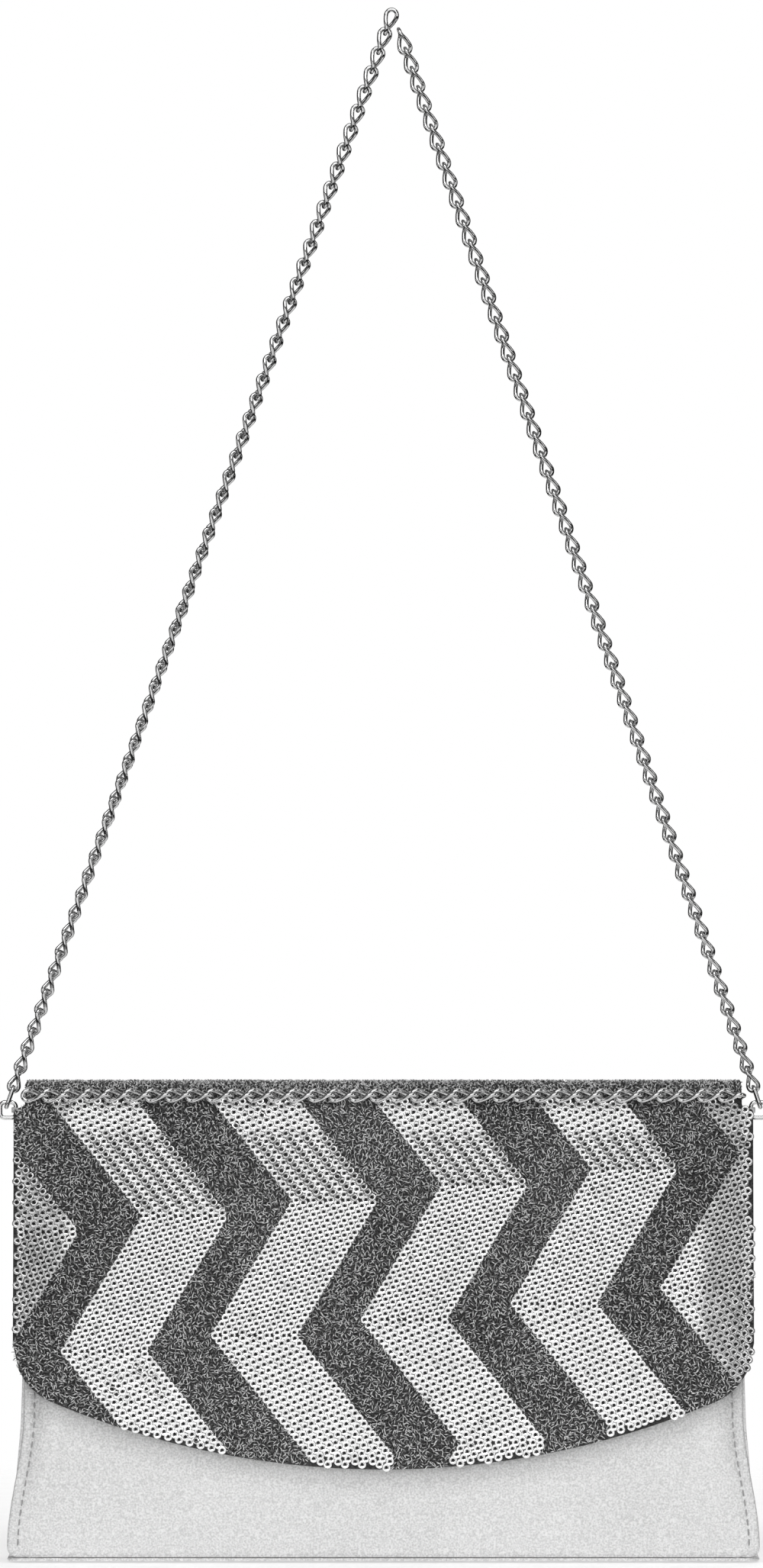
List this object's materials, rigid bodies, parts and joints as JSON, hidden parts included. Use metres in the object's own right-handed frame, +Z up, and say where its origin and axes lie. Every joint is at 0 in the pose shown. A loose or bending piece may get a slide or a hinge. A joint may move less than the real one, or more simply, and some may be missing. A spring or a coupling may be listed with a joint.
{
  "type": "evening bag",
  "caption": "Flap evening bag: wedge body of silver leather with folding gussets, chevron-sequined flap on a magnetic snap, inner zip pocket, curb chain strap drawn up to a point.",
  "frame": {"origin": "the point where a hook lifts the strap, at the inside of the top link", "axes": "+Z up, the front of the bag faces -Y, +X to the right as seen from the front"},
  "size_m": [0.2678, 0.0464, 0.5389],
  "materials": {
    "silver_leather": "fine-grained metallic silver",
    "chain_metal": "polished nickel-coloured curb chain",
    "flap_cloth": "gunmetal yarn with silver sequin chevrons",
    "lining_cloth": "dark grey satin",
    "board": "grey stiffening board",
    "zip_tape": "woven tape",
    "zip_metal": "nickel",
    "magnet": "ferrite"
  },
  "bodies": {
    "strap": {"strap_chain_left": "chain_metal", "strap_chain_right": "chain_metal", "left_end_link": "chain_metal", "right_end_link": "chain_metal"},
    "bag": {"base_panel": "silver_leather", "base_board": "board", "base_lining": "lining_cloth", "back_panel": "silver_leather", "back_board": "board", "back_lining": "lining_cloth", "back_facing": "silver_leather", "zip_pocket": "lining_cloth", "zip_tape_upper": "zip_tape", "zip_tape_lower": "zip_tape", "zip_teeth_upper": "zip_metal", "zip_teeth_lower": "zip_metal", "zip_stops": "zip_metal", "left_gusset": "silver_leather", "right_gusset": "silver_leather", "left_gusset_lining": "lining_cloth", "right_gusset_lining": "lining_cloth", "cap_shell": "flap_cloth", "cap_stiffener": "board", "cap_lining": "lining_cloth", "left_side_ring": "chain_metal", "right_side_ring": "chain_metal", "left_ring_tab": "silver_leather", "right_ring_tab": "silver_leather"},
    "front_wall": {"front_panel": "silver_leather", "front_board": "board", "front_lining": "lining_cloth", "front_facing": "silver_leather", "slip_pocket": "lining_cloth", "snap_socket": "zip_metal", "snap_magnet": "magnet", "snap_socket_washer": "zip_metal"},
    "flap": {"flap_shell": "flap_cloth", "flap_stiffener": "board", "flap_lining": "lining_cloth", "snap_stud": "zip_metal", "snap_stud_washer": "zip_metal", "trim_chain": "chain_metal"},
    "slider": {"zip_slider": "zip_metal"},
    "pull": {"zip_pull": "zip_metal"}
  },
  "joints": [
    {"name": "bag_swing", "type": "hinge", "parent": "strap", "child": "bag", "pos_m": [-0.0033, 0, -0.3793], "axis": [1, 0, 0], "range_deg": [-20, 40]},
    {"name": "flap_open", "type": "hinge", "parent": "bag", "child": "flap", "pos_m": [-0.0033, -0.00989, -0.3767], "axis": [-1, 0, 0], "range_deg": [0, 150]},
    {"name": "mouth_open", "type": "hinge", "parent": "bag", "child": "front_wall", "pos_m": [-0.0033, -0.0196, -0.5361], "axis": [1, 0, 0], "range_deg": [0, 12]},
    {"name": "zip_slide", "type": "slide", "parent": "bag", "child": "slider", "axis": [-1, 0, 0], "range_m": [0, 0.137]},
    {"name": "pull_swing", "type": "hinge", "parent": "slider", "child": "pull", "pos_m": [0.0652, 0.00758, -0.4213], "axis": [-1, 0, 0], "range_deg": [-5, 25]}
  ],
  "couplings": [
    {"joint": "mouth_open", "follows": "flap_open", "ratio": 0.08}
  ]
}
